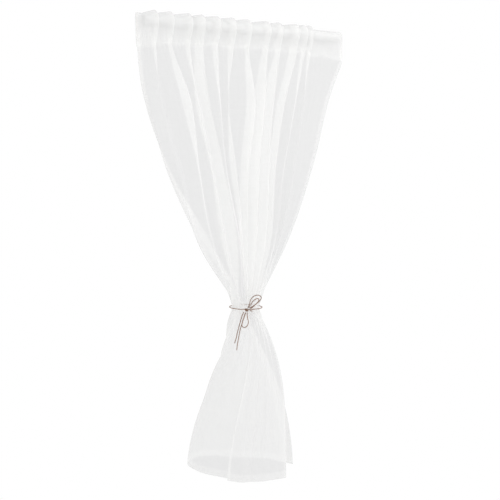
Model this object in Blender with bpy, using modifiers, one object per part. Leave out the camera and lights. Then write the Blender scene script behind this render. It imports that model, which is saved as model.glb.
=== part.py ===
"""Sheer voile curtain on a plain rod, tied at its waist with twine.

The cloth is one sheet. It starts at the pocket's seam behind the rod, runs up and over the rod and
down its front, falls in pleats to a tied waist, and opens below it into a loose skirt.

Frame: metres, +Z up, +X along the rod, -Y towards the room. The origin is the middle of the rod's
left end face.
"""

import math
from collections import namedtuple

import bmesh
import bpy
from mathutils import Vector

OBJECT_NAME = "voile_curtain_on_rod"
MM = 0.001

# Rod
ROD_LENGTH = 0.646
ROD_RADIUS = 0.015
ROD_SIDES = 48

# Cloth
CLOTH_THICKNESS = 0.0012
POCKET_OVERHANG = 0.022      # cloth past each end of the rod
POCKET_RADIUS = 0.0182       # cloth's middle surface where it lies against the rod
PLEAT_STAND_OFF = 0.011      # how far a pleat stands off the rod
POCKET_FLATNESS = 0.86       # share of its depth that the pocket loses at the cloth's side edges
POCKET_CLEAR = 0.004         # the pocket keeps its depth this far past each end of the rod
SEAM_DROP = 0.054            # pocket seam below the rod's axis
SEAM_SAG = 0.012             # how far the seam sinks towards its ends
SEAM_WAVES = ((0.16, 47.0, 1.0), (0.12, 83.0, 0.0))   # share of the sag, radians per metre, phase
FLATTENED_TO = 0.8           # share of the seam's drop down to which the pocket's ends are flat
FLATTENED_FADE = 0.006
FLAP_GAP = 0.0014            # least distance of the pocket's back behind the rod's axis, at the seam

# Rows of the pocket: its back and front as shares of the way down to the seam, and the steps
# over the rod.
BACK_SHARES = (1.0, 0.62, 0.25)
FRONT_SHARES = (0.3, 0.65)
OVER_STEPS = 6

# Heights of the table's sections
UPPER_Z = -0.200
MIDDLE_Z = -0.385
LOWER_Z = -0.595
TIE_Z = -0.788
HEM_Z = -1.286
HEM_LIFT = 0.022             # the hem rises by this much at the skirt's left

# Waist, an open ring of pleats round a hollow core
WAIST_CENTRE = Vector((0.319, 0.003))
WAIST_HALF_WIDTH = 0.050
WAIST_HALF_DEPTH = 0.029
WAIST_CORE = 0.017

# Skirt, an open loop whose long side is turned from the rod by SKIRT_TURN
SKIRT_TURN = math.radians(-34)
SKIRT_HALF_WIDTH = 0.169
SKIRT_HALF_DEPTH = 0.092
SKIRT_SHIFT = -0.011         # the hem's middle, along its long side, from the waist's
SKIRT_LEAN = 0.011           # how far the skirt leans to its right on the way down
FLARE_POWER = 1.6
SWING_POWER = 1.8

# Creases. Places are millimetres from the cloth's left corner. Depths are towards the room below
# zero. SEAM_DEPTHS are metres, and each crease takes the one for its kind.
SEAM_DEPTHS = {"crest": -0.013, "trough": -0.002, "turn": -0.005, "edge": -0.005}
CREST_DEPTH = -0.016
TROUGH_DEPTH = 0.011
SEAM_LAP = 0.9               # share of a pleat's lap at the rod that is left at the seam

# One row for each pleat above the tie, left to right: its front crease at the rod and at the
# upper, middle and lower heights, how far it is folded back over itself at each, how much of its
# depth it holds, and its place round the waist in degrees from the right end by way of the back.
Hang = namedtuple("Hang", "rod upper middle lower lap_rod lap_upper lap_middle lap_lower hold tie")
HANGS = (
    Hang(53, 66, 118, 178, 9, -10, -12, -14, 0.15, 118),
    Hang(99, 157, 180, 222, 10, 22, -4, -12, 0.80, 150),
    Hang(155, 178, 222, 266, 16, -9, -9, -9, 0.25, 178),
    Hang(196, 214, 259, 303, 30, 40, 36, 46, 1.00, 204),
    Hang(244, 248, 270, 312, 21, -8, -5, -7, 0.70, 222),
    Hang(293, 274, 300, 322, 20, -10, 12, -4, 0.80, 237),
    Hang(343, 366, 344, 338, 12, 22, 20, 16, 1.00, 250),
    Hang(409, 400, 384, 372, 20, 36, 46, 40, 1.00, 263),
    Hang(451, 431, 420, 407, 17, 42, 50, 44, 1.00, 276),
    Hang(512, 470, 436, 422, 30, 19, 12, 14, 1.00, 291),
    Hang(540, 508, 468, 438, 12, -9, -9, -10, 0.60, 308),
    Hang(560, 540, 508, 456, 8, -8, -8, -8, 0.40, 324),
)

# The same pleats at the hem: the outer crease and the inner one in degrees round the skirt, and
# their shares of its radius.
Fall = namedtuple("Fall", "crest crest_reach tuck tuck_reach")
FALLS = (
    Fall(60, 1.02, 72, 0.97),
    Fall(84, 1.03, 96, 0.95),
    Fall(108, 1.02, 121, 0.96),
    Fall(134, 1.02, 147, 0.97),
    Fall(160, 1.01, 173, 0.99),
    Fall(187, 1.02, 202, 0.98),
    Fall(214, 1.00, 253, 0.86),
    Fall(240, 1.03, 256, 0.99),
    Fall(271, 1.04, 282, 0.98),
    Fall(290, 0.99, 297, 0.98),
    Fall(305, 1.03, 312, 0.99),
    Fall(319, 1.00, 326, 0.98),
)

# The side edges and the turns beside them: places at the four heights, depths in millimetres at
# the lower three, and degrees at the waist and at the hem.
Side = namedtuple("Side", "kind places depths tie skirt")
LEFT_EDGE = Side("edge", (0, 22, 105, 243), (3, 22, 38), 62, 14)
LEFT_TURN = Side("turn", (18, 36, 84, 206), (-2, 6, 32), 90, 36)
RIGHT_TURN = Side("turn", (672, 617, 568, 490), (4, 7, 9), 340, 331)
RIGHT_EDGE = Side("edge", (690, 638, 586, 500), (1, 4, 6), 349, 335)

# Twine, routes in millimetres from the knot's centre: side to the right of the knot, up, and out
# from the bundle.
TWINE_RADIUS = 0.0015
TWINE_SEPARATION = 0.0031    # twine's centre line outside the pleats' crests
BAND_STEPS = 56
KNOT_ANGLE = math.radians(238)
KNOT_OUT = 0.0062            # knot's centre outside the twine band
KNOT_SIZE = Vector((0.0080, 0.0040, 0.0052))
Step = namedtuple("Step", "side up out")
ROUTES = {
    "tie_loop_outer": (
        Step(4, 7, 1), Step(8, 18, 6), Step(11, 31, 12), Step(19, 42, 15), Step(30, 46, 15),
        Step(40, 42, 13), Step(41, 34, 11), Step(33, 24, 9), Step(22, 15, 6), Step(10, 6, 2),
    ),
    "tie_loop_inner": (
        Step(6, 6, 5), Step(11, 17, 11), Step(17, 28, 17), Step(26, 36, 20), Step(34, 36, 19),
        Step(33, 28, 16), Step(24, 17, 12), Step(12, 5, 7),
    ),
    "tie_loop_lower": (
        Step(2, -7, 2), Step(2, -18, 8), Step(5, -32, 13), Step(2, -42, 17), Step(-6, -47, 18),
        Step(-13, -44, 18), Step(-13, -34, 15), Step(-8, -20, 10), Step(-3, -7, 3),
    ),
    "tie_end_long": (
        Step(-2, -7, 7), Step(-8, -20, 14), Step(-13, -34, 20), Step(-18, -48, 24),
        Step(-21, -62, 25), Step(-24, -78, 26), Step(-27, -94, 28), Step(-29, -110, 31),
    ),
    "tie_end_short": (
        Step(-8, -5, 5), Step(-14, -18, 9), Step(-19, -34, 14), Step(-23, -48, 18),
        Step(-27, -62, 20), Step(-30, -76, 21), Step(-35, -92, 23),
    ),
    "tie_stub": (
        Step(9, -1, 2), Step(13, -2, 3), Step(17, -3, 3),
    ),
}


def clear_scene():
    """Remove every object of the scene that the script starts in."""
    for item in list(bpy.data.objects):
        bpy.data.objects.remove(item, do_unlink=True)


def new_collection(name):
    collection = bpy.data.collections.new(name)
    bpy.context.scene.collection.children.link(collection)
    return collection


def make_material(name, colour, roughness, metallic):
    material = bpy.data.materials.new(name)
    material.use_nodes = True
    shader = material.node_tree.nodes["Principled BSDF"]
    shader.inputs["Base Color"].default_value = (*colour, 1.0)
    shader.inputs["Roughness"].default_value = roughness
    shader.inputs["Metallic"].default_value = metallic
    return material


def place(item, collection, material):
    """Put an object in the part's collection and nowhere else."""
    for owner in list(item.users_collection):
        owner.objects.unlink(item)
    collection.objects.link(item)
    item.data.materials.clear()
    item.data.materials.append(material)
    return item


def catmull(points, share):
    """Smooth value through evenly numbered points, at share 0 to 1 of the way along them."""
    position = share * (len(points) - 1)
    index = min(int(position), len(points) - 2)
    t = position - index
    before = points[max(index - 1, 0)]
    start = points[index]
    end = points[index + 1]
    after = points[min(index + 2, len(points) - 1)]
    return 0.5 * (
        2 * start + (end - before) * t
        + (2 * before - 5 * start + 4 * end - after) * t * t
        + (3 * start - before - 3 * end + after) * t * t * t
    )


def hermite_track(heights, values, z):
    """Smooth value at height z through values at falling heights."""
    for index in range(len(heights) - 1):
        if z >= heights[index + 1] or index == len(heights) - 2:
            break
    slopes = []
    for place_at in (index, index + 1):
        low = max(place_at - 1, 0)
        high = min(place_at + 1, len(heights) - 1)
        slopes.append((values[high] - values[low]) / (heights[high] - heights[low]))
    span = heights[index + 1] - heights[index]
    t = min(max((z - heights[index]) / span, 0.0), 1.0)
    return (
        (2 * t ** 3 - 3 * t ** 2 + 1) * values[index]
        + (t ** 3 - 2 * t ** 2 + t) * span * slopes[0]
        + (3 * t ** 2 - 2 * t ** 3) * values[index + 1]
        + (t ** 3 - t ** 2) * span * slopes[1]
    )


def ellipse_radius(angle, half_width, half_depth):
    return 1.0 / math.hypot(math.cos(angle) / half_width, math.sin(angle) / half_depth)


class Crease:
    """One turning line of the cloth, from the pocket to the hem."""

    HEIGHTS = (0.0, -SEAM_DROP, UPPER_Z, MIDDLE_Z, LOWER_Z, TIE_Z)

    def __init__(self, kind, places, depths, tie, skirt, reach):
        self.kind = kind
        self.stand_off = PLEAT_STAND_OFF if kind == "crest" else 0.0
        self.tie = math.radians(tie)
        self.skirt = math.radians(skirt)
        self.reach = reach
        at_tie = self.waist_point()
        self.x = [place_at * MM - POCKET_OVERHANG for place_at in places] + [at_tie.x]
        self.y = [-POCKET_RADIUS, SEAM_DEPTHS[kind], *depths, at_tie.y]

    def waist_radius(self):
        if self.kind == "trough":
            return WAIST_CORE
        outer = ellipse_radius(self.tie, WAIST_HALF_WIDTH, WAIST_HALF_DEPTH)
        return outer if self.kind == "crest" else 0.5 * (outer + WAIST_CORE)

    def waist_point(self):
        reach = self.waist_radius()
        return WAIST_CENTRE + Vector((math.cos(self.tie), math.sin(self.tie))) * reach

    def section_point(self, z):
        """Where the crease is, in plan, at a height below the pocket."""
        if z >= TIE_Z:
            return Vector((
                hermite_track(self.HEIGHTS, self.x, z),
                hermite_track(self.HEIGHTS, self.y, z),
            ))
        fall = (TIE_Z - z) / (TIE_Z - HEM_Z)
        flare = 1.0 - (1.0 - fall) ** FLARE_POWER
        swing = 1.0 - (1.0 - flare) ** SWING_POWER
        angle = self.tie + (self.skirt - self.tie) * swing
        loop = ellipse_radius(angle, SKIRT_HALF_WIDTH, SKIRT_HALF_DEPTH) * self.reach
        reach = self.waist_radius() * (1.0 - flare) + loop * flare
        turned = angle + SKIRT_TURN * flare
        shift = SKIRT_SHIFT * flare ** 2 + SKIRT_LEAN * math.sin(math.pi * flare)
        return WAIST_CENTRE + Vector((
            math.cos(turned) * reach + shift * math.cos(SKIRT_TURN),
            math.sin(turned) * reach + shift * math.sin(SKIRT_TURN),
        ))

    def hem_height(self):
        return HEM_Z + HEM_LIFT * max(0.0, -math.cos(self.skirt)) ** 2


def side_crease(side):
    rod, upper, middle, lower = side.places
    depths = [depth * MM for depth in side.depths]
    return Crease(side.kind, (rod, rod, upper, middle, lower), depths, side.tie, side.skirt, 1.0)


def pleat_creases(hang, fall, tuck_tie):
    """A pleat's front crease, and the tuck behind it."""
    places = (hang.rod, hang.rod, hang.upper, hang.middle, hang.lower)
    laps = (hang.lap_rod, SEAM_LAP * hang.lap_rod, hang.lap_upper, hang.lap_middle, hang.lap_lower)
    middle = 0.5 * (CREST_DEPTH + TROUGH_DEPTH)
    front = middle + (CREST_DEPTH - middle) * hang.hold
    behind = middle + (TROUGH_DEPTH - middle) * hang.hold
    tucks = [at - lap for at, lap in zip(places, laps)]
    return [
        Crease("crest", places, [front] * 3, hang.tie, fall.crest, fall.crest_reach),
        Crease("trough", tucks, [behind] * 3, tuck_tie, fall.tuck, fall.tuck_reach),
    ]


def cloth_creases():
    """Every turning line in order across the cloth, from its left edge to its right one."""
    creases = [side_crease(LEFT_EDGE), side_crease(LEFT_TURN)]
    ties = [hang.tie for hang in HANGS] + [RIGHT_TURN.tie]
    for index, (hang, fall) in enumerate(zip(HANGS, FALLS)):
        creases += pleat_creases(hang, fall, 0.5 * (ties[index] + ties[index + 1]))
    return creases + [side_crease(RIGHT_TURN), side_crease(RIGHT_EDGE)]


# How wide a crease is at each height. FLARED_Z is where the skirt is wide enough to round off.
FLARED_Z = -1.0
CREASE_WIDTHS = {0.0: 0.003, UPPER_Z: 0.004, LOWER_Z: 0.003, TIE_Z: 0.0018, FLARED_Z: 0.008, HEM_Z: 0.012}


def crease_width(z):
    heights = list(CREASE_WIDTHS)
    widths = list(CREASE_WIDTHS.values())
    for index in range(len(heights) - 1):
        if z >= heights[index + 1] or index == len(heights) - 2:
            t = (z - heights[index]) / (heights[index + 1] - heights[index])
            t = min(max(t, 0.0), 1.0)
            return widths[index] * (1 - t) + widths[index + 1] * t
    return widths[-1]


def settled(point):
    """Close the pocket past the rod's ends, and let its seam hang unevenly."""
    past = max(-point.x, point.x - ROD_LENGTH) - POCKET_CLEAR
    past = min(max(past / (POCKET_OVERHANG - POCKET_CLEAR), 0.0), 1.0)
    near = 1.0 / (1.0 + math.exp(-(point.z + FLATTENED_TO * SEAM_DROP) / FLATTENED_FADE))
    depth = point.y * (1.0 - POCKET_FLATNESS * past * near)
    half = 0.5 * ROD_LENGTH
    end = min(abs(point.x - half) / half, 1.1)
    uneven = sum(size * math.sin(point.x * rate + phase) for size, rate, phase in SEAM_WAVES)
    if point.z > -SEAM_DROP:
        share = max(-point.z / SEAM_DROP, 0.0)
    else:
        share = max((point.z - UPPER_Z) / (-SEAM_DROP - UPPER_Z), 0.0) ** 2
    return Vector((point.x, depth, point.z - SEAM_SAG * (end ** 4 + uneven) * share))


def widen(corners, width):
    """Give each inner corner of a section two points, so that a crease has a width.

    A point is also set at the middle of each run from a trough to the next crest.
    """
    points = [corners[0]]
    for index in range(1, len(corners) - 1):
        before, here, after = corners[index - 1], corners[index], corners[index + 1]
        if index % 2 == 0:
            points.append(points[-1].lerp(here, 0.5))
        along = (after - here).normalized() - (before - here).normalized()
        if along.length < 1e-6:
            along = after - before
        along.normalize()
        points.append(here - along * (0.5 * width))
        points.append(here + along * (0.5 * width))
    points.append(points[-1].lerp(corners[-1], 0.5))
    points.append(corners[-1])
    return points


def pocket_rows(creases):
    """The pocket, from its seam behind the rod, over the rod, to its seam in front."""
    plan = widen([Vector((c.x[0], POCKET_RADIUS + c.stand_off)) for c in creases], crease_width(0))
    seam = widen([c.section_point(-SEAM_DROP) for c in creases], crease_width(0))
    rows = []
    for share in BACK_SHARES:
        row = []
        for over, below in zip(plan, seam):
            x = over.x * (1 - share) + below.x * share
            behind = FLAP_GAP - below.y
            row.append(Vector((x, over.y * (1 - share) + behind * share, -SEAM_DROP * share)))
        rows.append(row)
    for step in range(OVER_STEPS + 1):
        angle = math.pi * step / OVER_STEPS
        rows.append([
            Vector((p.x, p.y * math.cos(angle), p.y * math.sin(angle))) for p in plan
        ])
    for share in FRONT_SHARES:
        rows.append([
            Vector((
                over.x * (1 - share) + below.x * share,
                -over.y * (1 - share) + below.y * share,
                -SEAM_DROP * share,
            ))
            for over, below in zip(plan, seam)
        ])
    return rows


def hanging_rows(creases):
    """The cloth below the pocket's seam, down to the hem."""
    heights = [-SEAM_DROP]
    for start, end, count in (
        (-SEAM_DROP, UPPER_Z, 3), (UPPER_Z, LOWER_Z, 6), (LOWER_Z, TIE_Z, 5), (TIE_Z, HEM_Z, 10),
    ):
        heights += [start + (end - start) * (step + 1) / count for step in range(count)]
    hems = widen([Vector((c.hem_height(), 0.0)) for c in creases], 0.0)
    rows = []
    for z in heights:
        plan = widen([c.section_point(z) for c in creases], crease_width(z))
        row = []
        for point, hem in zip(plan, hems):
            lifted = z
            if z < TIE_Z:
                lifted = TIE_Z + (z - TIE_Z) * (TIE_Z - hem.x) / (TIE_Z - HEM_Z)
            row.append(Vector((point.x, point.y, lifted)))
        rows.append(row)
    return rows


def build_cloth(collection, material):
    """One sheet from the pocket's back seam to the hem, lofted through its sections."""
    creases = cloth_creases()
    rows = pocket_rows(creases) + hanging_rows(creases)
    mesh = bpy.data.meshes.new("curtain_panel")
    shape = bmesh.new()
    grid = [[shape.verts.new(settled(point)) for point in row] for row in rows]
    for upper, lower in zip(grid, grid[1:]):
        for column in range(len(upper) - 1):
            shape.faces.new((upper[column], lower[column], lower[column + 1], upper[column + 1]))
    bmesh.ops.recalc_face_normals(shape, faces=shape.faces)
    shape.to_mesh(mesh)
    shape.free()
    mesh.shade_smooth()
    panel = bpy.data.objects.new("curtain_panel", mesh)
    bpy.context.scene.collection.objects.link(panel)
    solid = panel.modifiers.new("cloth thickness", "SOLIDIFY")
    solid.thickness = CLOTH_THICKNESS
    solid.offset = 0.0
    return place(panel, collection, material)


def build_rod(collection, material):
    bpy.ops.mesh.primitive_cylinder_add(
        vertices=ROD_SIDES, radius=ROD_RADIUS, depth=ROD_LENGTH,
        location=(0.5 * ROD_LENGTH, 0.0, 0.0), rotation=(0.0, math.pi / 2, 0.0),
    )
    rod = bpy.context.object
    rod.name = "rod"
    rod.data.shade_smooth()
    rod.data.set_sharp_from_angle(angle=math.radians(40))
    return place(rod, collection, material)


def twine_curve(name, points, closed, collection, material):
    curve = bpy.data.curves.new(name, "CURVE")
    curve.dimensions = "3D"
    curve.bevel_depth = TWINE_RADIUS
    curve.bevel_resolution = 2
    curve.use_fill_caps = not closed
    spline = curve.splines.new("POLY")
    spline.points.add(len(points) - 1)
    for target, point in zip(spline.points, points):
        target.co = (*point, 1.0)
    spline.use_cyclic_u = closed
    item = bpy.data.objects.new(name, curve)
    bpy.context.scene.collection.objects.link(item)
    return place(item, collection, material)


def band_radius(angle):
    return ellipse_radius(angle, WAIST_HALF_WIDTH, WAIST_HALF_DEPTH) + TWINE_SEPARATION


def build_band(collection, material):
    points = []
    for step in range(BAND_STEPS):
        angle = 2 * math.pi * step / BAND_STEPS
        reach = band_radius(angle)
        points.append(Vector((
            WAIST_CENTRE.x + math.cos(angle) * reach, WAIST_CENTRE.y + math.sin(angle) * reach, TIE_Z,
        )))
    return twine_curve("tie_band", points, True, collection, material)


def knot_axes():
    """The knot's centre, and the directions to its right and out from the bundle."""
    out = Vector((math.cos(KNOT_ANGLE), math.sin(KNOT_ANGLE), 0.0))
    side = Vector((-out.y, out.x, 0.0))
    reach = band_radius(KNOT_ANGLE) + KNOT_OUT
    centre = Vector((WAIST_CENTRE.x, WAIST_CENTRE.y, TIE_Z)) + out * reach
    return centre, side, out


def build_knot(collection, material):
    centre, side, out = knot_axes()
    bpy.ops.mesh.primitive_uv_sphere_add(segments=20, ring_count=12, radius=1.0, location=centre)
    knot = bpy.context.object
    knot.name = "tie_knot"
    knot.scale = KNOT_SIZE
    knot.rotation_euler = (0.0, 0.0, math.atan2(side.y, side.x))
    knot.data.shade_smooth()
    return place(knot, collection, material)


def build_twine(collection, material):
    centre, side, out = knot_axes()
    for name, route in ROUTES.items():
        marks = [
            centre + (side * step.side + out * step.out + Vector((0, 0, step.up))) * MM
            for step in route
        ]
        length = sum((b - a).length for a, b in zip(marks, marks[1:]))
        count = max(4, round(length / (5.0 * TWINE_RADIUS)))
        points = [catmull(marks, step / count) for step in range(count + 1)]
        twine_curve(name, points, False, collection, material)


def main():
    clear_scene()
    parts = new_collection(OBJECT_NAME)
    voile = make_material("voile", (0.93, 0.93, 0.92), 0.85, 0.0)
    enamel = make_material("white_enamel", (0.82, 0.82, 0.81), 0.45, 0.0)
    twine = make_material("twine", (0.42, 0.27, 0.19), 0.9, 0.0)
    build_rod(parts, enamel)
    build_cloth(parts, voile)
    build_band(parts, twine)
    build_knot(parts, twine)
    build_twine(parts, twine)


main()
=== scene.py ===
"""Looks of a sheer voile curtain on a plain rod, tied at the waist with twine.

The cloth is one sheet with its hems turned in. Its sections follow the same table of pleats as the
solid it stands for, in the same frame: metres, +Z up, +X along the rod, -Y towards the room.
"""

import logging
import math
from dataclasses import dataclass, field
from enum import Enum
from typing import Any, NamedTuple, Sequence

import bmesh
import bpy
import numpy as np
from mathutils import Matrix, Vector


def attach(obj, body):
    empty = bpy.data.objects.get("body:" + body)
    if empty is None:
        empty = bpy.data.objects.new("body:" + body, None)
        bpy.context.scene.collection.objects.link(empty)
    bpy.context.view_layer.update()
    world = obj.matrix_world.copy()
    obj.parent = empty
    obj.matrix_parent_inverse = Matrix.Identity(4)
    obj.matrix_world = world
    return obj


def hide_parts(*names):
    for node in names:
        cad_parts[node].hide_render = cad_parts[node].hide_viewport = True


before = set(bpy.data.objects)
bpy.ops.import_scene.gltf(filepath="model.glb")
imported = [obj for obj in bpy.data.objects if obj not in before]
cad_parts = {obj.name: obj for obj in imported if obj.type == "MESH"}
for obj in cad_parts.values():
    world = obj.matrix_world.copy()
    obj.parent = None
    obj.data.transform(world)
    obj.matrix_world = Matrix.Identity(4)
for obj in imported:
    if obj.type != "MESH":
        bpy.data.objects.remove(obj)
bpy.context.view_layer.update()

MM = 0.001
BODY = "root"

log = logging.getLogger("curtain")


# ---------------------------------------------------------------------------------------------
# Shader maths
# ---------------------------------------------------------------------------------------------


class Value:
    """A number that a shader works out, with ordinary arithmetic on it."""

    def __init__(self, bench: "Bench", socket: bpy.types.NodeSocket) -> None:
        """Wrap an output socket that lives on a bench."""
        self.bench = bench
        self.socket = socket

    def _math(self, operation: str, *operands: Any) -> "Value":
        """Add a Math node with this operation."""
        return self.bench.value("ShaderNodeMath", {"operation": operation}, dict(enumerate(operands)))

    def __add__(self, other: Any) -> "Value":
        """Sum."""
        return self._math("ADD", self, other)

    __radd__ = __add__

    def __sub__(self, other: Any) -> "Value":
        """Difference."""
        return self._math("SUBTRACT", self, other)

    def __rsub__(self, other: Any) -> "Value":
        """Difference, from a plain number."""
        return self._math("SUBTRACT", other, self)

    def __mul__(self, other: Any) -> "Value":
        """Product."""
        return self._math("MULTIPLY", self, other)

    __rmul__ = __mul__

    def __pow__(self, other: Any) -> "Value":
        """Power."""
        return self._math("POWER", self, other)

    def sine(self) -> "Value":
        """Sine of the value in radians."""
        return self._math("SINE", self)

    def clamped(self) -> "Value":
        """The value held between 0 and 1."""
        return self.bench.value("ShaderNodeClamp", {}, {"Value": self})

    def above(self, limit: float) -> "Value":
        """1 where the value is over a limit, and 0 elsewhere."""
        return self._math("GREATER_THAN", self, limit)


class Bench:
    """A material's or a world's node tree, cleared and ready to be filled."""

    def __init__(self, tree: bpy.types.NodeTree) -> None:
        """Clear a node tree and keep it."""
        self.tree = tree
        tree.nodes.clear()

    def node(self, kind: str, settings: dict[str, Any], inputs: dict[Any, Any]) -> bpy.types.Node:
        """Add one node.

        Args:
            kind: The node's type.
            settings: Its own settings. "stops" holds a colour ramp's positions and colours.
            inputs: Numbers, colours, Values or sockets for its inputs, by name or by number.

        Returns:
            The new node.
        """
        node = self.tree.nodes.new(kind)
        for name, setting in settings.items():
            if name == "stops":
                self._fill_ramp(node.color_ramp, setting)
            else:
                setattr(node, name, setting)
        for name, given in inputs.items():
            socket = node.inputs[name]
            if isinstance(given, Value):
                self.tree.links.new(given.socket, socket)
            elif isinstance(given, bpy.types.NodeSocket):
                self.tree.links.new(given, socket)
            else:
                socket.default_value = given
        return node

    @staticmethod
    def _fill_ramp(ramp: bpy.types.ColorRamp, stops: Sequence[tuple[float, Sequence[float]]]) -> None:
        """Set a colour ramp's stops, from left to right."""
        while len(ramp.elements) < len(stops):
            ramp.elements.new(1.0)
        for element, (position, colour) in zip(ramp.elements, stops):
            element.position = position
            element.color = (*colour, 1.0)

    def value(self, kind: str, settings: dict[str, Any], inputs: dict[Any, Any], output: Any = 0) -> Value:
        """Add one node and wrap one of its outputs."""
        return Value(self, self.node(kind, settings, inputs).outputs[output])

    def blend(self, factor: Any, first: Any, second: Any) -> bpy.types.NodeSocket:
        """Mix two colours by a factor from 0 to 1."""
        node = self.node("ShaderNodeMix", {"data_type": "RGBA"}, {0: factor, 6: first, 7: second})
        return node.outputs[2]


def rgba(colour: Sequence[float]) -> tuple[float, float, float, float]:
    """A colour with full alpha."""
    return (colour[0], colour[1], colour[2], 1.0)


# ---------------------------------------------------------------------------------------------
# Finishes
# ---------------------------------------------------------------------------------------------


@dataclass(frozen=True)
class VoileFinish:
    """Thin white plain weave that light goes through."""

    colour: tuple[float, float, float] = (0.985, 0.985, 0.98)
    cover: float = 0.42
    cover_swing: float = 0.06
    # Painted highlight: extra cover where the cloth bends sharply, so that fold edges show as brighter
    # lines, standing in for cloth seen edge-on.
    highlight_cover: float = 0.06
    threads_per_metre: float = 1900.0
    translucency: float = 0.5

    def make(self) -> bpy.types.Material:
        """Make the voile.

        Returns:
            The material, which reads the cloth's flat coordinates in metres.
        """
        material = bpy.data.materials.new("voile")
        material.use_nodes = True
        bench = Bench(material.node_tree)
        flat = bench.node("ShaderNodeUVMap", {"uv_map": "flat"}, {})
        split = bench.node("ShaderNodeSeparateXYZ", {}, {0: flat.outputs[0]})
        across = Value(bench, split.outputs[0])
        down = Value(bench, split.outputs[1])
        turn = 2 * math.pi * self.threads_per_metre
        warp = (across * turn).sine() * 0.5 + 0.5
        weft = (down * turn).sine() * 0.5 + 0.5
        weave = warp + weft - warp * weft
        slub = bench.value(
            "ShaderNodeTexNoise", {"noise_dimensions": "2D"},
            {"Vector": self._stretched(bench, flat, 260.0, 9.0), "Scale": 1.0, "Detail": 2.0},
        )
        pick = bench.value(
            "ShaderNodeTexNoise", {"noise_dimensions": "2D"},
            {"Vector": self._stretched(bench, flat, 9.0, 260.0), "Scale": 1.0, "Detail": 2.0},
        )
        mottle = bench.value(
            "ShaderNodeTexNoise", {"noise_dimensions": "2D"},
            {"Vector": flat.outputs[0], "Scale": 14.0, "Detail": 3.0},
        )
        # Painted highlight: the crease attribute marks sharp bends, and the cover is raised there so that
        # fold edges show brighter, standing in for cloth seen edge-on.
        fold_highlight_map = bench.node("ShaderNodeAttribute", {"attribute_name": "crease"}, {})
        highlight_mask = Value(bench, fold_highlight_map.outputs["Fac"])
        cover = (
            self.cover + (weave - 0.75) * self.cover_swing
            + (slub + pick - 1.0) * (0.35 * self.cover_swing)
            + (mottle - 0.5) * (0.3 * self.cover_swing)
            + highlight_mask * self.highlight_cover
        ).clamped()
        bump = bench.node(
            "ShaderNodeBump", {}, {"Strength": 0.08, "Distance": 0.0002, "Height": weave},
        )
        front = bench.node(
            "ShaderNodeBsdfPrincipled", {},
            {
                "Base Color": rgba(self.colour), "Roughness": 0.82, "Alpha": cover,
                "Sheen Weight": 0.12, "Sheen Roughness": 0.5, "Specular IOR Level": 0.2,
                "Normal": bump.outputs[0],
            },
        )
        through = bench.node("ShaderNodeBsdfTranslucent", {}, {"Color": rgba(self.colour)})
        clear = bench.node("ShaderNodeBsdfTransparent", {}, {})
        lit = bench.node(
            "ShaderNodeMixShader", {}, {0: cover, 1: clear.outputs[0], 2: through.outputs[0]},
        )
        both = bench.node(
            "ShaderNodeMixShader", {},
            {0: self.translucency, 1: front.outputs[0], 2: lit.outputs[0]},
        )
        bench.node("ShaderNodeOutputMaterial", {}, {0: both.outputs[0]})
        return material

    @staticmethod
    def _stretched(bench: Bench, flat: bpy.types.Node, across: float, down: float) -> bpy.types.NodeSocket:
        """The flat coordinates, scaled unevenly so that a noise on them runs along threads."""
        node = bench.node(
            "ShaderNodeVectorMath", {"operation": "MULTIPLY"},
            {0: flat.outputs[0], 1: (across, down, 1.0)},
        )
        return node.outputs[0]


@dataclass(frozen=True)
class TwineFinish:
    """Brown two-ply twine, darker in its grooves."""

    light: tuple[float, float, float] = (0.50, 0.33, 0.25)
    dark: tuple[float, float, float] = (0.16, 0.09, 0.06)

    def make(self) -> bpy.types.Material:
        """Make the twine's material.

        Returns:
            The material, coloured by noise along the strands.
        """
        material = bpy.data.materials.new("twine")
        material.use_nodes = True
        bench = Bench(material.node_tree)
        place = bench.node("ShaderNodeTexCoord", {}, {}).outputs["Object"]
        patches = bench.value("ShaderNodeTexNoise", {}, {"Vector": place, "Scale": 210.0, "Detail": 3.0})
        fibres = bench.value("ShaderNodeTexNoise", {}, {"Vector": place, "Scale": 1500.0, "Detail": 2.0})
        tone = (patches * 1.5 - 0.3 + (fibres - 0.5) * 0.6).clamped()
        bump = bench.node("ShaderNodeBump", {}, {"Strength": 0.6, "Distance": 0.0003, "Height": fibres})
        shader = bench.node(
            "ShaderNodeBsdfPrincipled", {},
            {
                "Base Color": bench.blend(tone, rgba(self.dark), rgba(self.light)),
                "Roughness": 0.85, "Sheen Weight": 0.25, "Normal": bump.outputs[0],
            },
        )
        bench.node("ShaderNodeOutputMaterial", {}, {0: shader.outputs[0]})
        return material


@dataclass(frozen=True)
class EnamelFinish:
    """Satin white enamel on the rod, with faint mottling."""

    colour: tuple[float, float, float] = (0.80, 0.80, 0.80)

    def make(self) -> bpy.types.Material:
        """Make the enamel.

        Returns:
            The material.
        """
        material = bpy.data.materials.new("rod_enamel")
        material.use_nodes = True
        bench = Bench(material.node_tree)
        place = bench.node("ShaderNodeTexCoord", {}, {}).outputs["Object"]
        mottle = bench.value("ShaderNodeTexNoise", {}, {"Vector": place, "Scale": 45.0, "Detail": 4.0})
        peel = bench.value("ShaderNodeTexNoise", {}, {"Vector": place, "Scale": 420.0, "Detail": 1.0})
        darker = tuple(0.94 * part for part in self.colour)
        bump = bench.node("ShaderNodeBump", {}, {"Strength": 0.15, "Distance": 0.0002, "Height": peel})
        shader = bench.node(
            "ShaderNodeBsdfPrincipled", {},
            {
                "Base Color": bench.blend(mottle, rgba(darker), rgba(self.colour)),
                "Roughness": mottle * 0.2 + 0.35, "Normal": bump.outputs[0],
            },
        )
        bench.node("ShaderNodeOutputMaterial", {}, {0: shader.outputs[0]})
        return material


# ---------------------------------------------------------------------------------------------
# The curtain's form
# ---------------------------------------------------------------------------------------------


class Kind(Enum):
    """What a turning line of the cloth is."""

    EDGE = "edge"
    TURN = "turn"
    CREST = "crest"
    TROUGH = "trough"
    END = "end"


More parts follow.
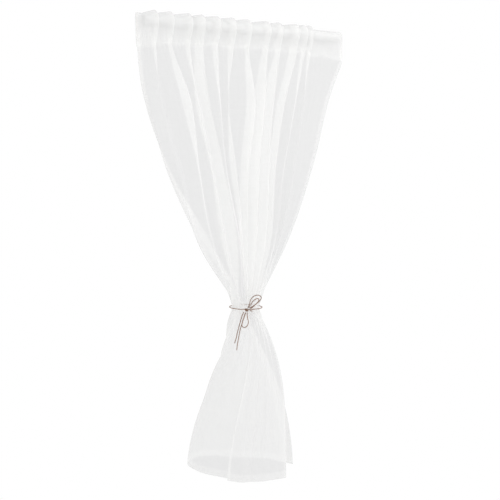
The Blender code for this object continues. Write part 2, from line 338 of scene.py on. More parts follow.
class Hang(NamedTuple):
    """One pleat above the tie.

    The first four fields are the places of its front crease, in millimetres from the cloth's left
    corner, at four heights. The next four are how far it is folded back over itself there: below
    zero the fold is open. hold is how much of its depth it keeps below the pocket, and tie its
    place round the waist in degrees from the right end, by way of the back.
    """

    rod: float
    upper: float
    middle: float
    lower: float
    lap_rod: float
    lap_upper: float
    lap_middle: float
    lap_lower: float
    hold: float
    tie: float


HANGS = (
    Hang(53, 66, 118, 178, 9, -10, -12, -14, 0.15, 118),
    Hang(99, 157, 180, 222, 10, 22, -4, -12, 0.80, 150),
    Hang(155, 178, 222, 266, 16, -9, -9, -9, 0.25, 178),
    Hang(196, 214, 259, 303, 30, 40, 36, 46, 1.00, 204),
    Hang(244, 248, 270, 312, 21, -8, -5, -7, 0.70, 222),
    Hang(293, 274, 300, 322, 20, -10, 12, -4, 0.80, 237),
    Hang(343, 366, 344, 338, 12, 22, 20, 16, 1.00, 250),
    Hang(409, 400, 384, 372, 20, 36, 46, 40, 1.00, 263),
    Hang(451, 431, 420, 407, 17, 42, 50, 44, 1.00, 276),
    Hang(512, 470, 436, 422, 30, 19, 12, 14, 1.00, 291),
    Hang(540, 508, 468, 438, 12, -9, -9, -10, 0.60, 308),
    Hang(560, 540, 508, 456, 8, -8, -8, -8, 0.40, 324),
)


class Fall(NamedTuple):
    """One pleat below the tie, at the hem.

    crest and tuck are the places of its outer and inner crease in degrees round the skirt, from
    its right end by way of the back; crest_reach and tuck_reach are their shares of its radius.
    """

    crest: float
    crest_reach: float
    tuck: float
    tuck_reach: float


FALLS = (
    Fall(60, 1.02, 72, 0.97),
    Fall(84, 1.03, 96, 0.95),
    Fall(108, 1.02, 121, 0.96),
    Fall(134, 1.02, 147, 0.97),
    Fall(160, 1.01, 173, 0.99),
    Fall(187, 1.02, 202, 0.98),
    Fall(214, 1.00, 253, 0.86),
    Fall(240, 1.03, 256, 0.99),
    Fall(271, 1.04, 282, 0.98),
    Fall(290, 0.99, 297, 0.98),
    Fall(305, 1.03, 312, 0.99),
    Fall(319, 1.00, 326, 0.98),
)


class Side(NamedTuple):
    """A side edge, or the turn beside one, with its depths and its places at tie and hem."""

    kind: Kind
    places: tuple[float, float, float, float]
    depths: tuple[float, float, float]
    tie: float
    skirt: float


LEFT_EDGE = Side(Kind.EDGE, (0, 22, 105, 243), (3, 22, 38), 62, 14)
LEFT_TURN = Side(Kind.TURN, (18, 36, 84, 206), (-2, 6, 32), 90, 36)
RIGHT_TURN = Side(Kind.TURN, (672, 617, 568, 490), (4, 7, 9), 340, 331)
RIGHT_EDGE = Side(Kind.END, (690, 638, 586, 500), (1, 4, 6), 349, 335)


@dataclass(frozen=True)
class CurtainForm:
    """Sizes of the hanging cloth, in metres and radians."""

    rod_length: float = 0.646
    overhang: float = 0.022
    pocket_clear: float = 0.004
    pocket_flatness: float = 0.86
    pocket_radius: float = 0.0182
    stand_off: float = 0.011
    seam_drop: float = 0.054
    seam_sag: float = 0.012
    seam_waves: tuple[tuple[float, float, float], ...] = ((0.16, 47.0, 1.0), (0.12, 83.0, 0.0))
    flattened_to: float = 0.8
    flattened_fade: float = 0.006
    seam_lap: float = 0.9
    upper_z: float = -0.200
    middle_z: float = -0.385
    lower_z: float = -0.595
    tie_z: float = -0.788
    hem_z: float = -1.286
    hem_lift: float = 0.022
    waist_x: float = 0.319
    waist_y: float = 0.003
    waist_half_width: float = 0.050
    waist_half_depth: float = 0.029
    waist_core: float = 0.017
    skirt_turn: float = math.radians(-34)
    skirt_half_width: float = 0.169
    skirt_half_depth: float = 0.092
    skirt_shift: float = -0.011
    skirt_lean: float = 0.011
    flare_power: float = 1.6
    swing_power: float = 1.8
    seam_crest: float = -0.013
    seam_trough: float = -0.002
    seam_edge: float = -0.005
    crest_depth: float = -0.016
    trough_depth: float = 0.011

    def heights(self) -> np.ndarray:
        """The heights that the table's places belong to."""
        return np.array([0.0, -self.seam_drop, self.upper_z, self.middle_z, self.lower_z, self.tie_z])


def ellipse_radius(angle: np.ndarray, half_width: float, half_depth: float) -> np.ndarray:
    """Distance from an ellipse's middle to its edge at an angle."""
    return 1.0 / np.hypot(np.cos(angle) / half_width, np.sin(angle) / half_depth)


def hermite_track(heights: np.ndarray, values: np.ndarray, z: np.ndarray) -> np.ndarray:
    """Smooth values at heights z.

    Args:
        heights: Falling heights of the given values.
        values: One row of values for each crease.
        z: Heights to read, as a flat array.

    Returns:
        One row for each crease and one column for each z.
    """
    count = len(heights)
    low = np.maximum(np.arange(count) - 1, 0)
    high = np.minimum(np.arange(count) + 1, count - 1)
    slopes = (values[:, high] - values[:, low]) / (heights[high] - heights[low])
    index = np.clip(np.searchsorted(-heights, -z, side="right") - 1, 0, count - 2)
    span = heights[index + 1] - heights[index]
    t = np.clip((z - heights[index]) / span, 0.0, 1.0)
    return (
        (2 * t ** 3 - 3 * t ** 2 + 1) * values[:, index]
        + (t ** 3 - 2 * t ** 2 + t) * span * slopes[:, index]
        + (3 * t ** 2 - 2 * t ** 3) * values[:, index + 1]
        + (t ** 3 - t ** 2) * span * slopes[:, index + 1]
    )


class Creases:
    """Every turning line of the cloth in order across it, as arrays."""

    def __init__(self, form: CurtainForm) -> None:
        """Work out the lines from the table of pleats."""
        self.form = form
        self.kinds: list[Kind] = []
        self._tie: list[float] = []
        self._skirt: list[float] = []
        self._share: list[float] = []
        self._places: list[tuple[float, ...]] = []
        self._depths: list[tuple[float, ...]] = []
        self._add_side(LEFT_EDGE)
        self._add_side(LEFT_TURN)
        ties = [hang.tie for hang in HANGS] + [RIGHT_TURN.tie]
        for index, (hang, fall) in enumerate(zip(HANGS, FALLS)):
            self._add_pleat(hang, fall, 0.5 * (ties[index] + ties[index + 1]))
        self._add_side(RIGHT_TURN)
        self._add_side(RIGHT_EDGE)
        self.tie = np.radians(self._tie)
        self.skirt = np.radians(self._skirt)
        self.loop_share = np.array(self._share)
        crest = np.array([kind is Kind.CREST for kind in self.kinds])
        trough = np.array([kind is Kind.TROUGH for kind in self.kinds])
        self.stand_off = np.where(crest, form.stand_off, 0.0)
        outer = ellipse_radius(self.tie, form.waist_half_width, form.waist_half_depth)
        between = 0.5 * (outer + form.waist_core)
        self.waist = np.where(crest, outer, np.where(trough, form.waist_core, between))
        places = np.array(self._places) * MM - form.overhang
        self.x = np.column_stack((places, form.waist_x + np.cos(self.tie) * self.waist))
        self.y = np.column_stack((self._depths, form.waist_y + np.sin(self.tie) * self.waist))

    def _add_side(self, side: Side) -> None:
        """Add a side edge, or the turn beside one."""
        form = self.form
        rod, upper, middle, lower = side.places
        self.kinds.append(side.kind)
        self._tie.append(side.tie)
        self._skirt.append(side.skirt)
        self._share.append(1.0)
        self._places.append((rod, rod, upper, middle, lower))
        self._depths.append((-form.pocket_radius, form.seam_edge, *(d * MM for d in side.depths)))

    def _add_pleat(self, hang: Hang, fall: Fall, tuck_tie: float) -> None:
        """Add a pleat's front crease, and the tuck behind it."""
        form = self.form
        places = (hang.rod, hang.rod, hang.upper, hang.middle, hang.lower)
        at_seam = form.seam_lap * hang.lap_rod
        laps = (hang.lap_rod, at_seam, hang.lap_upper, hang.lap_middle, hang.lap_lower)
        self.kinds += [Kind.CREST, Kind.TROUGH]
        self._tie += [hang.tie, tuck_tie]
        self._skirt += [fall.crest, fall.tuck]
        self._share += [fall.crest_reach, fall.tuck_reach]
        self._places += [places, tuple(place - lap for place, lap in zip(places, laps))]
        middle = 0.5 * (form.crest_depth + form.trough_depth)
        front = middle + (form.crest_depth - middle) * hang.hold
        behind = middle + (form.trough_depth - middle) * hang.hold
        at_rod = -form.pocket_radius
        self._depths.append((at_rod - form.stand_off, form.seam_crest, front, front, front))
        self._depths.append((at_rod, form.seam_trough, behind, behind, behind))

    def plan(self, z: np.ndarray) -> np.ndarray:
        """Where the lines are in plan.

        Args:
            z: Heights at or below the pocket's seam.

        Returns:
            An array of line, height and the two plan coordinates.
        """
        form = self.form
        heights = form.heights()
        above = np.maximum(z, form.tie_z)
        upper = np.stack((
            hermite_track(heights, self.x, above), hermite_track(heights, self.y, above),
        ), axis=-1)
        fall = np.clip((form.tie_z - z) / (form.tie_z - form.hem_z), 0.0, 1.0)
        flare = 1.0 - (1.0 - fall) ** form.flare_power
        swing = 1.0 - (1.0 - flare) ** form.swing_power
        angle = self.tie[:, None] + (self.skirt - self.tie)[:, None] * swing
        loop = ellipse_radius(angle, form.skirt_half_width, form.skirt_half_depth)
        reach = self.waist[:, None] * (1.0 - flare) + loop * self.loop_share[:, None] * flare
        turned = angle + form.skirt_turn * flare
        shift = form.skirt_shift * flare ** 2 + form.skirt_lean * np.sin(math.pi * flare)
        lower = np.stack((
            form.waist_x + np.cos(turned) * reach + shift * math.cos(form.skirt_turn),
            form.waist_y + np.sin(turned) * reach + shift * math.sin(form.skirt_turn),
        ), axis=-1)
        return np.where((z >= form.tie_z)[None, :, None], upper, lower)

    def hem_heights(self) -> np.ndarray:
        """Height of the hem at each line."""
        form = self.form
        return form.hem_z + form.hem_lift * np.maximum(0.0, -np.cos(self.skirt)) ** 2


@dataclass
class VoilePanel:
    """The cloth: one sheet, from the pocket's seam behind the rod to the hem."""

    form: CurtainForm
    finish: VoileFinish
    wide_steps: int = 15
    lap_steps: int = 11
    pocket_rows: int = 14
    over_rows: int = 16
    drop_rows: tuple[int, int, int] = (78, 40, 76)
    layer_gap: float = 0.0011
    hem_gap: float = 0.0008
    rounding_span: int = 12
    side_hem: int = 7
    hem_rows: int = 4
    hem_width: float = 0.022
    flat_width: float = 1.05
    flat_length: float = 1.43
    flat_across: np.ndarray = field(init=False)
    flat_down: np.ndarray = field(init=False)

    def build(self) -> bpy.types.Object:
        """Work out the sheet, turn its hems and dress it.

        Returns:
            The cloth's object.
        """
        creases = Creases(self.form)
        rows, down = self._rows(creases)
        self.flat_down = down
        rows = self._settled(self._rounded(rows))
        lengths = np.linalg.norm(np.diff(rows, axis=1), axis=2)
        across = np.concatenate(([0.0], np.cumsum(np.median(lengths, axis=0))))
        self.flat_across = across * (self.flat_width / across[-1])
        highlight_mask = self._highlight_mask(rows)
        rows = self._creased(rows)
        points, flat, highlight_mask = self._with_hems(rows, highlight_mask)
        piece = self._mesh(points, flat, highlight_mask)
        piece.data.materials.append(self.finish.make())
        log.info("voile_panel: %d by %d points", *rows.shape[:2])
        return piece

    def _columns(self, corners: np.ndarray) -> np.ndarray:
        """Sample the runs between corners of every row.

        Args:
            corners: An array of line, row and coordinate.

        Returns:
            An array of row, column and coordinate.
        """
        pieces = []
        for index in range(len(corners) - 1):
            is_lap = index % 2 == 0 or index == len(corners) - 2
            steps = self.lap_steps if is_lap else self.wide_steps
            t = np.arange(steps)[:, None, None] / steps
            pieces.append(corners[index] * (1 - t) + corners[index + 1] * t)
        pieces.append(corners[-1][None])
        return np.concatenate(pieces).transpose(1, 0, 2)

    def _rows(self, creases: Creases) -> tuple[np.ndarray, np.ndarray]:
        """Every row of the sheet before it is rounded.

        Returns:
            The rows as an array of row, column and coordinate, and the flat length at each row.
        """
        form = self.form
        seam = creases.plan(np.array([-form.seam_drop]))[:, 0]
        ring = form.pocket_radius + creases.stand_off
        over_x = creases.x[:, 0]
        rows: list[np.ndarray] = []
        down: list[float] = []
        for step in range(self.pocket_rows):
            share = 1.0 - step / self.pocket_rows
            ease = share * share * (3 - 2 * share)
            x = over_x * (1 - ease) + seam[:, 0] * ease
            y = ring * (1 - ease) + (seam[:, 1] + self.layer_gap) * ease
            rows.append(np.column_stack((x, y, np.full_like(x, -form.seam_drop * share))))
            down.append(form.seam_drop * (1 - share))
        for step in range(self.over_rows + 1):
            angle = math.pi * step / self.over_rows
            rows.append(np.column_stack((over_x, ring * math.cos(angle), ring * math.sin(angle))))
            down.append(form.seam_drop + form.pocket_radius * angle)
        front_top = down[-1]
        for step in range(1, self.pocket_rows):
            share = step / self.pocket_rows
            ease = share * share * (3 - 2 * share)
            x = over_x * (1 - share) + seam[:, 0] * share
            y = -ring * (1 - ease) + seam[:, 1] * ease
            rows.append(np.column_stack((x, y, np.full_like(x, -form.seam_drop * share))))
            down.append(front_top + form.seam_drop * share)
        z = np.concatenate((
            np.linspace(-form.seam_drop, form.lower_z, self.drop_rows[0], endpoint=False),
            np.linspace(form.lower_z, form.tie_z, self.drop_rows[1], endpoint=False),
            np.linspace(form.tie_z, form.hem_z + self.hem_width, self.drop_rows[2], endpoint=False),
            np.linspace(form.hem_z + self.hem_width, form.hem_z, self.hem_rows + 1),
        ))
        plan = creases.plan(z)
        hems = creases.hem_heights()
        for index, height in enumerate(z):
            heights = np.full(len(hems), height)
            if height < form.tie_z:
                share = (height - form.tie_z) / (form.hem_z - form.tie_z)
                heights = form.tie_z + share * (hems - form.tie_z)
            rows.append(np.column_stack((plan[:, index], heights)))
            down.append(front_top - height)
        corners = np.array(rows).transpose(1, 0, 2)
        return self._columns(corners), np.array(down)

    def _settled(self, rows: np.ndarray) -> np.ndarray:
        """Close the pocket past the rod's ends, and let its seam hang unevenly."""
        form = self.form
        x, z = rows[:, :, 0], rows[:, :, 2]
        past = np.maximum(-x, x - form.rod_length) - form.pocket_clear
        past = np.clip(past / (form.overhang - form.pocket_clear), 0.0, 1.0)
        near = 1.0 / (1.0 + np.exp(-(z + form.flattened_to * form.seam_drop) / form.flattened_fade))
        rows[:, :, 1] *= 1.0 - form.pocket_flatness * past * near
        half = 0.5 * form.rod_length
        end = np.clip(np.abs(x - half) / half, 0.0, 1.1)
        uneven = sum(size * np.sin(x * rate + phase) for size, rate, phase in form.seam_waves)
        at_seam = np.where(
            z > -form.seam_drop, np.clip(-z / form.seam_drop, 0.0, 1.0),
            np.clip((z - form.upper_z) / (-form.seam_drop - form.upper_z), 0.0, 1.0) ** 2,
        )
        rows[:, :, 2] -= form.seam_sag * (end ** 4 + uneven) * at_seam
        return rows

    def _rounded(self, rows: np.ndarray) -> np.ndarray:
        """Round the corners of every row, more in the skirt than at the waist."""
        span = self.rounding_span
        padded = np.concatenate((
            2 * rows[:, :1] - rows[:, span:0:-1], rows,
            2 * rows[:, -1:] - rows[:, -2:-2 - span:-1],
        ), axis=1)
        z = rows[:, :, 2].mean(axis=1)
        form = self.form
        width = np.interp(
            -z,
            [0.0, -form.upper_z, -form.lower_z, -form.tie_z, -form.tie_z + 0.10, -form.hem_z],
            [0.9, 1.4, 1.5, 1.3, 4.5, 5.0],
        )
        result = np.zeros_like(rows)
        total = np.zeros(len(rows))
        for offset in range(-span, span + 1):
            weight = np.exp(-0.5 * (offset / width) ** 2)
            result += padded[:, span + offset:span + offset + rows.shape[1]] * weight[:, None, None]
            total += weight
        return result / total[:, None, None]

    @staticmethod
    def _normals(rows: np.ndarray) -> np.ndarray:
        """Unit normals of the grid, pointing to the room at the top."""
        along = np.gradient(rows, axis=1)
        fall = np.gradient(rows, axis=0)
        normal = np.cross(fall, along)
        length = np.linalg.norm(normal, axis=2, keepdims=True)
        return normal / np.maximum(length, 1e-9)

    def _creased(self, rows: np.ndarray) -> np.ndarray:
        """Add the fine gathers at the pocket and the waist, and slow unevenness between."""
        form = self.form
        u = self.flat_across[None, :]
        z = rows[:, :, 2]
        wander = 0.012 * np.sin(z * 9.0 + 1.3) + 0.006 * np.sin(z * 23.0)
        gathers = (
            np.sin(2 * math.pi * (u + wander) / 0.0131 + 3.0 * np.sin(u * 17.0))
            + 0.7 * np.sin(2 * math.pi * (u - wander) / 0.0213 + 2.0 * np.sin(u * 29.0 + 1.0))
        )
        at_waist = np.exp(-((z - form.tie_z) / np.where(z < form.tie_z, 0.028, 0.05)) ** 2)
        at_seam = np.exp(-((z + form.seam_drop) / 0.028) ** 2)
        slow = (
            np.sin(u * 41.0 + 5.0 * z + 0.4) * np.sin(z * 11.0 + u * 7.0)
            + 0.6 * np.sin(u * 73.0 - 6.0 * z) * np.sin(z * 19.0 + 2.0)
        )
        below_pocket = 1.0 / (1.0 + np.exp((z + form.seam_drop + 0.03) / 0.01))
        height = (
            gathers * (0.0004 * at_waist + 0.0006 * at_seam)
            + slow * 0.0012 * below_pocket * (1.0 - at_waist)
        )
        return rows + self._normals(rows) * height[:, :, None]

    @staticmethod
    def _highlight_mask(rows: np.ndarray) -> np.ndarray:
        """How sharply each point is folded across, from 0 for flat to 1 for a crease: the mask of the
        painted highlight along sharp bends.
        """
        along = np.gradient(rows[:, :, :2], axis=1)
        along /= np.maximum(np.linalg.norm(along, axis=2, keepdims=True), 1e-9)
        bend = np.linalg.norm(np.gradient(along, axis=1), axis=2)
        return np.clip((bend - 0.10) / 0.55, 0.0, 1.0)

    def _with_hems(
        self, rows: np.ndarray, highlight_mask: np.ndarray,
    ) -> tuple[np.ndarray, np.ndarray, np.ndarray]:
        """Turn the side hems and the bottom hem to the back of the cloth.

        Args:
            rows: The sheet's grid.
            highlight_mask: How sharply each of its points is folded.

        Returns:
            The wider grid, its flat coordinates and its mask of painted highlight along sharp bends.
        """
        back = -self._normals(rows) * self.hem_gap
        flat = np.stack(np.meshgrid(self.flat_across, self.flat_down), axis=-1)
        points = rows
        turned = (rows + back)
        bottom = turned[-2:-2 - self.hem_rows:-1]
        points = np.concatenate((points, bottom), axis=0)
        turned = np.concatenate((turned, bottom + back[-2:-2 - self.hem_rows:-1]), axis=0)
        reach = self.flat_down[-1] * 2 - self.flat_down[-2:-2 - self.hem_rows:-1]
        extra = np.stack(np.meshgrid(self.flat_across, reach), axis=-1)
        flat = np.concatenate((flat, extra), axis=0)
        count = self.side_hem
        left = turned[:, count:0:-1]
        right = turned[:, -2:-2 - count:-1]
        left_flat = flat[:, count:0:-1] * (-1, 1)
        right_flat = flat[:, -2:-2 - count:-1].copy()
        right_flat[:, :, 0] = 2 * self.flat_across[-1] - right_flat[:, :, 0]
        points = np.concatenate((left, points, right), axis=1)
        flat = np.concatenate((left_flat, flat, right_flat), axis=1)
        fold_highlight_map = np.pad(highlight_mask, ((0, self.hem_rows), (count, count)), mode="edge")
        return points, flat, fold_highlight_map

    def _mesh(self, points: np.ndarray, flat: np.ndarray, highlight_mask: np.ndarray) -> bpy.types.Object:
        """Make the sheet's mesh, with its flat coordinates as a UV map and its mask of painted highlight
        as a value.
        """
        side_hem, hem_rows = self.side_hem, self.hem_rows
        high, wide = points.shape[:2]
        index = np.arange(high * wide).reshape(high, wide)
        faces = np.stack((index[:-1, :-1], index[1:, :-1], index[1:, 1:], index[:-1, 1:]), axis=-1)
        mesh = bpy.data.meshes.new("voile_panel")
        mesh.from_pydata(points.reshape(-1, 3).tolist(), [], faces.reshape(-1, 4).tolist())
        layer = mesh.uv_layers.new(name="flat")
        corner = np.empty(len(mesh.loops), dtype=np.int32)
        mesh.loops.foreach_get("vertex_index", corner)
        layer.uv.foreach_set("vector", flat.reshape(-1, 2)[corner].astype(np.float32).ravel())
        ends = np.empty(2 * len(mesh.edges), dtype=np.int32)
        mesh.edges.foreach_get("vertices", ends)
        row, column = np.divmod(ends.reshape(-1, 2), wide)
        on_side = (column[:, 0] == column[:, 1]) & np.isin(column[:, 0], (side_hem, wide - 1 - side_hem))
        on_hem = (row[:, 0] == row[:, 1]) & (row[:, 0] == high - 1 - hem_rows)
        sharp = mesh.attributes.new("sharp_edge", "BOOLEAN", "EDGE")
        sharp.data.foreach_set("value", on_side | on_hem)
        # The crease attribute carries the painted highlight mask to the voile.
        fold_highlight_map = mesh.attributes.new("crease", "FLOAT", "POINT")
        fold_highlight_map.data.foreach_set("value", highlight_mask.astype(np.float32).ravel())
        mesh.shade_smooth()
        piece = bpy.data.objects.new("voile_panel", mesh)
        bpy.context.scene.collection.objects.link(piece)
        return piece

    def declare(self, piece: bpy.types.Object) -> None:
        """Attach the cloth to its body and hide the part that it stands for."""
        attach(piece, BODY)
        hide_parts("curtain_panel")


# ---------------------------------------------------------------------------------------------
# Twine tie
# ---------------------------------------------------------------------------------------------


class Step(NamedTuple):
    """A point of a twine route, in millimetres from the knot: right, up and out."""

    side: float
    up: float
    out: float


ROUTES: dict[str, tuple[Step, ...]] = {
    "tie_loop_outer": (
        Step(4, 7, 1), Step(8, 18, 6), Step(11, 31, 12), Step(19, 42, 15), Step(30, 46, 15),
        Step(40, 42, 13), Step(41, 34, 11), Step(33, 24, 9), Step(22, 15, 6), Step(10, 6, 2),
    ),
    "tie_loop_inner": (
        Step(6, 6, 5), Step(11, 17, 11), Step(17, 28, 17), Step(26, 36, 20), Step(34, 36, 19),
        Step(33, 28, 16), Step(24, 17, 12), Step(12, 5, 7),
    ),
    "tie_loop_lower": (
        Step(2, -7, 2), Step(2, -18, 8), Step(5, -32, 13), Step(2, -42, 17), Step(-6, -47, 18),
        Step(-13, -44, 18), Step(-13, -34, 15), Step(-8, -20, 10), Step(-3, -7, 3),
    ),
    "tie_end_long": (
        Step(-2, -7, 7), Step(-8, -20, 14), Step(-13, -34, 20), Step(-18, -48, 24),
        Step(-21, -62, 25), Step(-24, -78, 26), Step(-27, -94, 28), Step(-29, -110, 31),
    ),
    "tie_end_short": (
        Step(-8, -5, 5), Step(-14, -18, 9), Step(-19, -34, 14), Step(-23, -48, 18),
        Step(-27, -62, 20), Step(-30, -76, 21), Step(-35, -92, 23),
    ),
    "tie_stub": (Step(9, -1, 2), Step(13, -2, 3), Step(17, -3, 3)),
}
ENDS = ("tie_end_long", "tie_end_short")


def smooth_route(marks: Sequence[Vector], spacing: float) -> list[Vector]:
    """Points on a smooth curve through marks, about a spacing apart."""
    length = sum((b - a).length for a, b in zip(marks, marks[1:]))
    count = max(6, round(length / spacing))
    result = []
    for step in range(count + 1):
        position = step / count * (len(marks) - 1)
        index = min(int(position), len(marks) - 2)
        t = position - index
        before, start = marks[max(index - 1, 0)], marks[index]
        end, after = marks[index + 1], marks[min(index + 2, len(marks) - 1)]
        result.append(0.5 * (
            2 * start + (end - before) * t
            + (2 * before - 5 * start + 4 * end - after) * t * t
            + (3 * start - before - 3 * end + after) * t * t * t
        ))
    return result


@dataclass
class TwineTie:
    """The two-ply twine round the waist, with its bow and its hanging ends."""

    form: CurtainForm
    finish: TwineFinish
    radius: float = 0.0015
    pitch: float = 0.0085
    separation: float = 0.0031
    knot_angle: float = math.radians(238)
    knot_out: float = 0.0062
    band_tilt: float = 0.09
    band_steps: int = 240
    knot_steps: int = 39
    knot_turns: float = 3.0
    knot_size: tuple[float, float, float] = (0.0092, 0.0024, 0.0036)
    knot_spacing: float = 0.0009
    spacing: float = 0.0012
    sides: int = 8

    def build(self) -> None:
        material = self.finish.make()
        centre, side, out = self._axes()
        band = self._band()
        self._dress(self._plies("twine_band", band, True), "tie_band", material)
        self._dress(self._knot(centre, side, out), "tie_knot", material)
        for name, route in ROUTES.items():
            marks = [centre + (side * s.side + out * s.out + Vector((0, 0, s.up))) * MM for s in route]
            points = smooth_route(marks, self.spacing)
            piece = self._plies(name.replace("tie_", "twine_"), points, False)
            self._dress(piece, name, material)
            if name == "tie_stub":
                continue
            length = sum((b - a).length for a, b in zip(points, points[1:]))
            log.info("%s: %.0f mm of twine", piece.name, length / MM)

    def _axes(self) -> tuple[Vector, Vector, Vector]:
        """The knot's centre, and the directions to its right and out from the bundle."""
        out = Vector((math.cos(self.knot_angle), math.sin(self.knot_angle), 0.0))
        side = Vector((-out.y, out.x, 0.0))
        reach = self._band_radius(self.knot_angle) + self.knot_out
        waist = Vector((self.form.waist_x, self.form.waist_y, self.form.tie_z))
        return waist + out * reach, side, out

    def _band_radius(self, angle: float) -> float:
        """Distance of the band's centre line from the waist's middle."""
        form = self.form
        at = ellipse_radius(np.array(angle), form.waist_half_width, form.waist_half_depth)
        return float(at) + self.separation

    def _band(self) -> list[Vector]:
        """Points of the closed band round the waist."""
        form = self.form
        points = []
        for step in range(self.band_steps):
            angle = 2 * math.pi * step / self.band_steps
            reach = self._band_radius(angle)
            points.append(Vector((
                form.waist_x + math.cos(angle) * reach, form.waist_y + math.sin(angle) * reach,
                form.tie_z - self.band_tilt * reach * math.sin(angle - self.knot_angle),
            )))
        return points

    def _plies(self, name: str, points: Sequence[Vector], closed: bool) -> bpy.types.Object:
        """Two strands twisted round each other along a path."""
        ply = 0.56 * self.radius
        offset = self.radius - ply
        total = sum((b - a).length for a, b in zip(points, points[1:]))
        turns = max(1, round(total / self.pitch))
        mesh = bmesh.new()
        for phase in (0.0, math.pi):
            self._tube(mesh, points, closed, ply, offset, phase, turns)
        bmesh.ops.recalc_face_normals(mesh, faces=mesh.faces)
        data = bpy.data.meshes.new(name)
        mesh.to_mesh(data)
        mesh.free()
        data.shade_smooth()
        piece = bpy.data.objects.new(name, data)
        bpy.context.scene.collection.objects.link(piece)
        return piece

    def _tube(
        self, mesh: bmesh.types.BMesh, points: Sequence[Vector], closed: bool,
        radius: float, offset: float, phase: float, turns: int,
    ) -> None:
        """Add one ply of the twine to a mesh."""
        count = len(points)
        across = Vector((0.13, 0.21, 1.0)).normalized()
        rings = []
        for index, point in enumerate(points):
            after = points[(index + 1) % count] if closed else points[min(index + 1, count - 1)]
            before = points[index - 1] if closed or index else points[0]
            along = (after - before).normalized()
            across = (across - along * across.dot(along)).normalized()
            third = along.cross(across)
            turn = phase + 2 * math.pi * turns * index / (count if closed else count - 1)
            centre = point + (across * math.cos(turn) + third * math.sin(turn)) * offset
            ring = []
            for corner in range(self.sides):
                angle = 2 * math.pi * corner / self.sides
                outward = across * math.cos(angle) + third * math.sin(angle)
                ring.append(mesh.verts.new(centre + outward * radius))
            rings.append(ring)
        pairs = list(zip(rings, rings[1:]))
        if closed:
            pairs.append((rings[-1], rings[0]))
        for first, second in pairs:
            for corner in range(self.sides):
                following = (corner + 1) % self.sides
                mesh.faces.new((first[corner], second[corner], second[following], first[following]))
        if not closed:
            mesh.faces.new(rings[0])
            mesh.faces.new(rings[-1])

    def _knot(self, centre: Vector, side: Vector, out: Vector) -> bpy.types.Object:
        """A half-hitch of twine wound round the knot's middle."""
        marks = []
        for step in range(self.knot_steps + 1):
            t = step / self.knot_steps
            angle = 2 * math.pi * self.knot_turns * t
            marks.append(
                centre + side * ((t - 0.5) * self.knot_size[0])
                + out * (self.knot_size[1] * math.cos(angle))
                + Vector((0, 0, self.knot_size[2] * math.sin(angle)))
            )
        return self._plies("twine_knot", smooth_route(marks, self.knot_spacing), False)

    @staticmethod
    def _dress(piece: bpy.types.Object, node: str, material: bpy.types.Material) -> None:
        """Give a strand its finish and its body, and hide the part that it stands for."""
        piece.data.materials.append(material)
        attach(piece, BODY)
        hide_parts(node)


# ---------------------------------------------------------------------------------------------
# Studio
# ---------------------------------------------------------------------------------------------


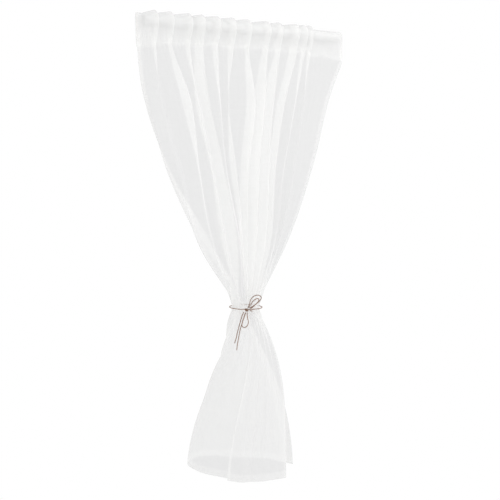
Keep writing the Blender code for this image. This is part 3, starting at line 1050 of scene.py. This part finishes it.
@dataclass(frozen=True)
class Studio:
    """Plain pale floor, soft light and the camera."""

    camera_place: tuple[float, float, float] = (-0.9644, -1.8992, -0.3043)
    yaw: float = math.radians(34.3)
    pitch: float = math.radians(7.83)
    focal_share: float = 1.6
    floor_z: float = -1.62
    backdrop: float = 1.0
    behind_cloth: float = 0.745
    light_level: float = 0.88

    def build(self) -> None:
        """Set the camera, the light and the floor."""
        self._camera()
        self._world()
        self._floor()
        self._lamp("key", (1.5, -1.6, 0.9), (0.33, 0.0, -0.5), 1.6, 18.0)
        self._lamp("fill", (-2.0, -1.0, 0.2), (0.33, 0.0, -0.6), 2.0, 3.0)
        scene = bpy.context.scene
        scene.view_settings.view_transform = "Standard"
        scene.cycles.transparent_max_bounces = 64

    def _camera(self) -> None:
        """The camera at the object's left front, a little above the waist."""
        data = bpy.data.cameras.new("camera")
        data.sensor_width = 36.0
        data.lens = 36.0 * self.focal_share
        camera = bpy.data.objects.new("camera", data)
        camera.location = self.camera_place
        camera.rotation_euler = (math.pi / 2 - self.pitch, 0.0, -self.yaw)
        bpy.context.scene.collection.objects.link(camera)
        bpy.context.scene.camera = camera

    def _glow(self, bench: Bench) -> bpy.types.NodeSocket:
        """White, and a soft grey where it is seen through cloth."""
        path = bench.node("ShaderNodeLightPath", {}, {})
        depth = Value(bench, path.outputs["Transparent Depth"]).above(0.5)
        seen_through = depth * Value(bench, path.outputs["Is Camera Ray"])
        white = (self.backdrop, self.backdrop, self.backdrop)
        grey = (self.behind_cloth, self.behind_cloth, self.behind_cloth * 1.005)
        return bench.blend(seen_through, rgba(white), rgba(grey))

    def _strength(self, bench: Bench) -> Value:
        """Full to the camera, and light_level to everything that it lights."""
        seen = Value(bench, bench.node("ShaderNodeLightPath", {}, {}).outputs["Is Camera Ray"])
        return seen * (1.0 - self.light_level) + self.light_level

    def _world(self) -> None:
        """An even white surround."""
        world = bpy.data.worlds.new("studio")
        world.use_nodes = True
        bench = Bench(world.node_tree)
        glow = bench.node(
            "ShaderNodeBackground", {},
            {"Color": self._glow(bench), "Strength": self._strength(bench)},
        )
        bench.node("ShaderNodeOutputWorld", {}, {0: glow.outputs[0]})
        bpy.context.scene.world = world

    def _floor(self) -> None:
        """A wide pale floor below the hem."""
        mesh = bmesh.new()
        bmesh.ops.create_circle(mesh, cap_ends=True, segments=96, radius=9.0)
        data = bpy.data.meshes.new("floor")
        mesh.to_mesh(data)
        mesh.free()
        floor = bpy.data.objects.new("floor", data)
        floor.location = (0.3, 0.0, self.floor_z)
        bpy.context.scene.collection.objects.link(floor)
        material = bpy.data.materials.new("pale_floor")
        material.use_nodes = True
        bench = Bench(material.node_tree)
        glow = bench.node(
            "ShaderNodeEmission", {},
            {"Color": self._glow(bench), "Strength": self._strength(bench)},
        )
        bench.node("ShaderNodeOutputMaterial", {}, {0: glow.outputs[0]})
        data.materials.append(material)

    @staticmethod
    def _lamp(
        name: str, place: tuple[float, float, float], aim: tuple[float, float, float],
        size: float, power: float,
    ) -> None:
        """A square soft light."""
        data = bpy.data.lights.new(name, "AREA")
        data.size = size
        data.energy = power
        lamp = bpy.data.objects.new(name, data)
        lamp.location = place
        direction = Vector(aim) - Vector(place)
        lamp.rotation_euler = direction.to_track_quat("-Z", "Y").to_euler()
        bpy.context.scene.collection.objects.link(lamp)


def dress_rod() -> None:
    """Give the rod its enamel."""
    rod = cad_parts["rod"]
    rod.data.materials.clear()
    rod.data.materials.append(EnamelFinish().make())


def main() -> None:
    """Build the studio and the curtain, in order."""
    logging.basicConfig(level=logging.INFO, format="%(message)s")
    form = CurtainForm()
    Studio().build()
    TwineTie(form, TwineFinish()).build()
    panel = VoilePanel(form, VoileFinish())
    panel.declare(panel.build())
    dress_rod()


if __name__ == "__main__":
    main()
